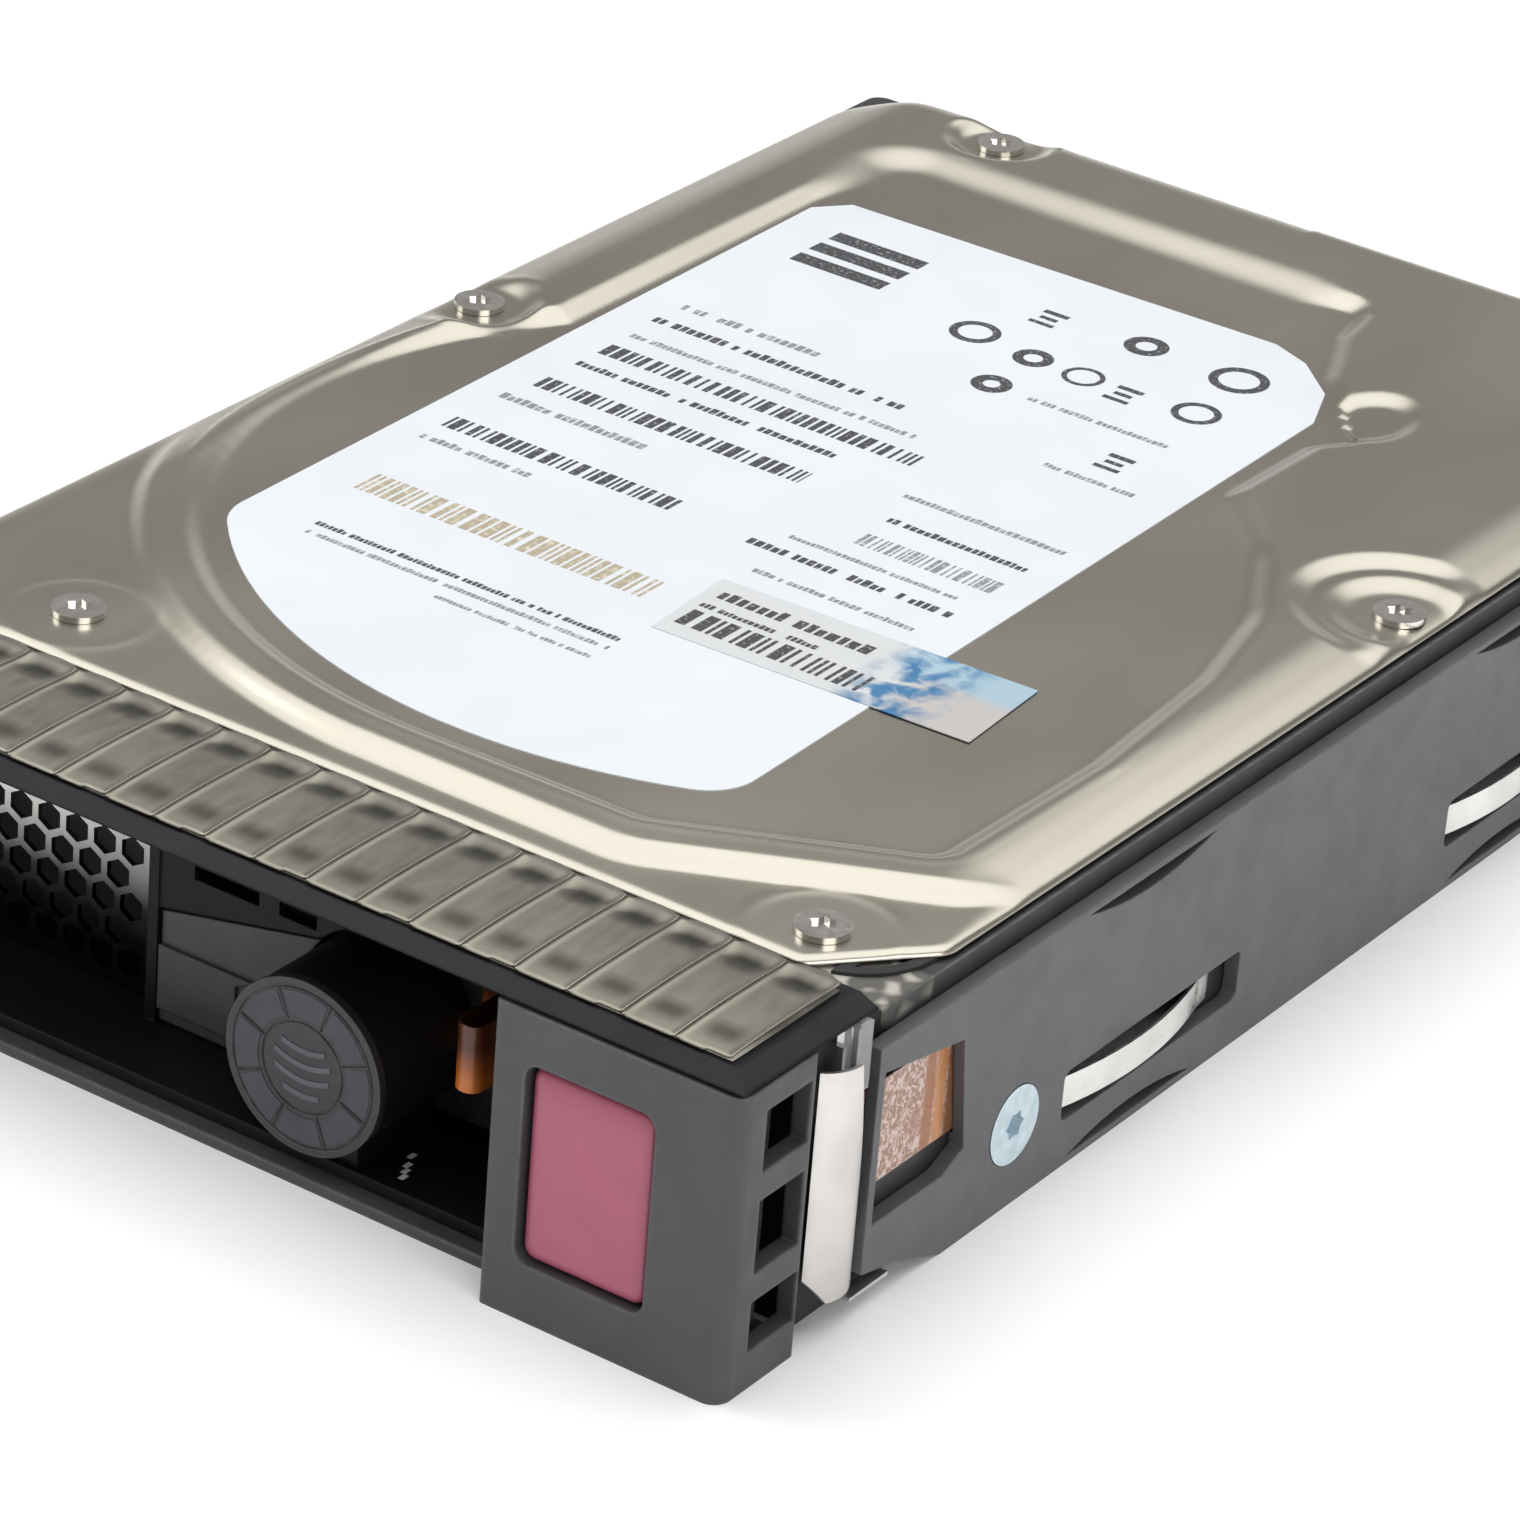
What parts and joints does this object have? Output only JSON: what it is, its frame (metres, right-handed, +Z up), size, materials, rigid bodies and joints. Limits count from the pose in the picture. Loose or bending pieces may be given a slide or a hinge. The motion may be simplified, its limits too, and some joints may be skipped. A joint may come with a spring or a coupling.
{
  "type": "hard disk drive",
  "caption": "Low box-shaped disk drive in a slide-in server carrier, with a front vent window, round indicator, ejector lever and release button.",
  "frame": {"origin": "middle of the carrier's base, at the bottom centre of its bounding box", "axes": "+X to the right seen from the front, +Y towards the rear connector, +Z up; the front faces -Y"},
  "size_m": [0.1058, 0.1686, 0.0283],
  "materials": {
    "cast_aluminium": "cast satin",
    "cover_steel": "satin pressed steel, warm grey",
    "gasket_rubber": "matte",
    "screw_steel": "bright machined",
    "zinc_screw": "pale blue zinc",
    "bearing_steel": "ground",
    "lamination_steel": "laminated",
    "copper_winding": "enamelled copper wire",
    "hub_aluminium": "turned",
    "magnet_nickel": "nickel plated",
    "platter_mirror": "polished",
    "arm_aluminium": "machined",
    "spring_steel": "bright",
    "slider_ceramic": "ground",
    "yoke_steel": "nickel plated",
    "ramp_plastic": "satin",
    "bumper_rubber": "matte",
    "amber_flex": "polyimide film over copper",
    "filter_fabric": "non-woven",
    "black_plastic": "satin moulded",
    "board_laminate": "solder mask",
    "chip_epoxy": "moulded",
    "connector_plastic": "moulded",
    "label_paper": "satin film",
    "sticker_paper": "satin film",
    "rail_plastic": "satin moulded grey",
    "grille_steel": "bright punched sheet",
    "bracket_plastic": "satin",
    "lens_plastic": "smoked translucent",
    "clear_plastic": "clear moulded",
    "finger_steel": "stainless spring strip",
    "side_strip_steel": "bright spring strip",
    "contact_block_plastic": "moulded",
    "lever_plastic": "satin moulded dark grey",
    "button_plastic": "satin maroon"
  },
  "bodies": {
    "carrier": {"base_casting": "cast_aluminium", "top_cover": "cover_steel", "cover_gasket": "gasket_rubber", "cover_screws": "screw_steel", "bearing_sleeve": "bearing_steel", "stator_core": "lamination_steel", "stator_windings": "copper_winding", "pivot_shaft": "bearing_steel", "pivot_bearings": "bearing_steel", "lower_yoke": "yoke_steel", "upper_yoke": "yoke_steel", "voice_coil_magnets": "magnet_nickel", "yoke_posts": "yoke_steel", "load_ramp": "ramp_plastic", "park_magnet": "magnet_nickel", "crash_stops": "bumper_rubber", "head_flex": "amber_flex", "flex_connector": "connector_plastic", "recirculation_filter": "filter_fabric", "breather_filter": "filter_fabric", "circuit_board": "board_laminate", "board_chips": "chip_epoxy", "board_screws": "screw_steel", "rear_connector": "connector_plastic", "main_label": "label_paper", "small_label": "sticker_paper", "right_rail": "rail_plastic", "left_rail": "rail_plastic", "right_rail_springs": "spring_steel", "left_rail_springs": "spring_steel", "mounting_screws": "zinc_screw", "bezel_body": "black_plastic", "vent_grille": "grille_steel", "ring_bracket": "bracket_plastic", "ring_barrel": "black_plastic", "activity_ring_lens": "lens_plastic", "indicator_board": "board_laminate", "flex_circuit": "amber_flex", "light_pipe": "clear_plastic", "emi_top_strip": "finger_steel", "emi_side_strips": "side_strip_steel", "rear_contact_block": "contact_block_plastic", "lever_hinge_pin": "bearing_steel", "lever_spring": "spring_steel"},
    "spindle": {"spindle_hub": "hub_aluminium", "rotor_magnet": "magnet_nickel", "platter_1": "platter_mirror", "platter_2": "platter_mirror", "platter_3": "platter_mirror", "platter_spacers": "hub_aluminium", "disk_clamp": "hub_aluminium", "clamp_screws": "screw_steel"},
    "actuator": {"actuator_block": "arm_aluminium", "suspensions": "spring_steel", "head_sliders": "slider_ceramic", "voice_coil": "copper_winding"},
    "lever": {"ejector_lever": "lever_plastic", "button_spring": "spring_steel"},
    "button": {"release_button": "button_plastic"}
  },
  "joints": [
    {"name": "lever_hinge", "type": "hinge", "parent": "carrier", "child": "lever", "pos_m": [-0.0472, -0.07765, 0.013], "axis": [0, 0, -1], "range_deg": [0, 50]},
    {"name": "button_press", "type": "slide", "parent": "lever", "child": "button", "axis": [0, 1, 0], "range_m": [0, 0.0015], "stiffness_N_per_m": 400, "springref_m": -0.001, "deforming": ["button_spring"]},
    {"name": "spindle_spin", "type": "hinge", "parent": "carrier", "child": "spindle", "pos_m": [0, -0.01125, 0.014], "axis": [0, 0, 1], "continuous": true},
    {"name": "arm_swing", "type": "hinge", "parent": "carrier", "child": "actuator", "pos_m": [0.02, 0.04625, 0.0156], "axis": [0, 0, 1], "range_deg": [0, 33]}
  ]
}
